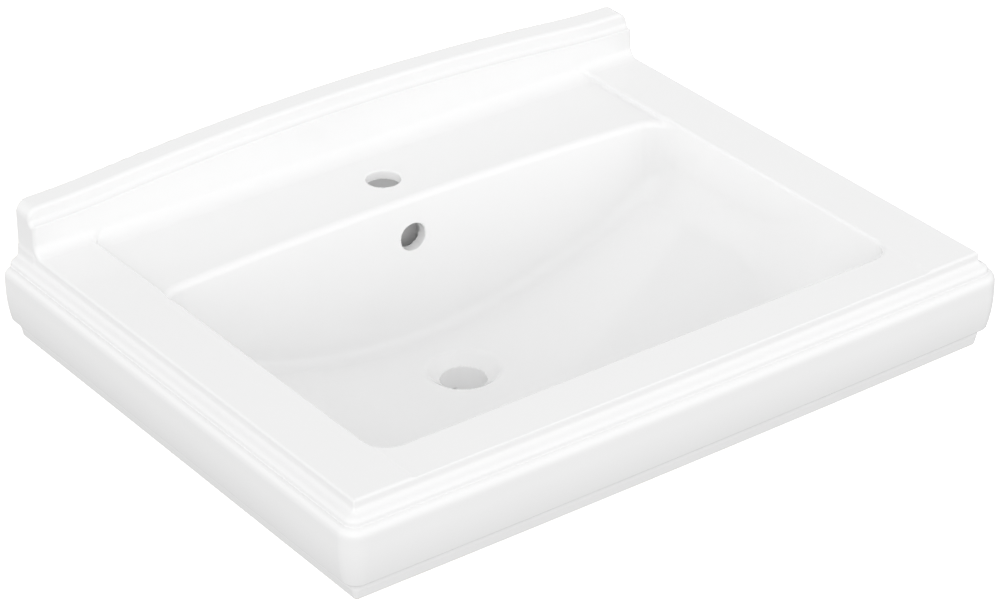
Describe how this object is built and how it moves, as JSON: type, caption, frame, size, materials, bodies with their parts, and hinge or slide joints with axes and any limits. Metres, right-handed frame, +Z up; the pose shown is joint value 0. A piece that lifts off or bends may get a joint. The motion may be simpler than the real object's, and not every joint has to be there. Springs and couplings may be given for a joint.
{
  "type": "washbasin",
  "caption": "Wall-hung rectangular ceramic washbasin with a moulded rim, arched upstand, tap ledge, overflow and waste hole, with its wall fixings.",
  "frame": {"origin": "midway between the two wall fixings, on the plane of the wall", "axes": "+Y into the wall, +X along the wall to the right of a person facing it, +Z up"},
  "size_m": [0.754, 0.652, 0.2656],
  "materials": {
    "glazed_china": "gloss white glaze",
    "zinc_plated_steel": "zinc plated",
    "nylon": "moulded, natural"
  },
  "bodies": {
    "root": {"upstand": "glazed_china", "tap_ledge": "glazed_china", "deck_left": "glazed_china", "deck_right": "glazed_china", "deck_front": "glazed_china", "apron_front": "glazed_china", "apron_left": "glazed_china", "apron_right": "glazed_china", "rear_wall": "glazed_china", "bowl_back_wall": "glazed_china", "bowl_front_wall": "glazed_china", "bowl_left_wall": "glazed_china", "bowl_right_wall": "glazed_china", "bowl_floor_left": "glazed_china", "bowl_floor_middle": "glazed_china", "bowl_floor_right": "glazed_china", "hanger_bolts": "zinc_plated_steel", "bolt_sleeves": "nylon", "bolt_washers": "zinc_plated_steel", "hex_nuts": "zinc_plated_steel"}
  },
  "joints": []
}
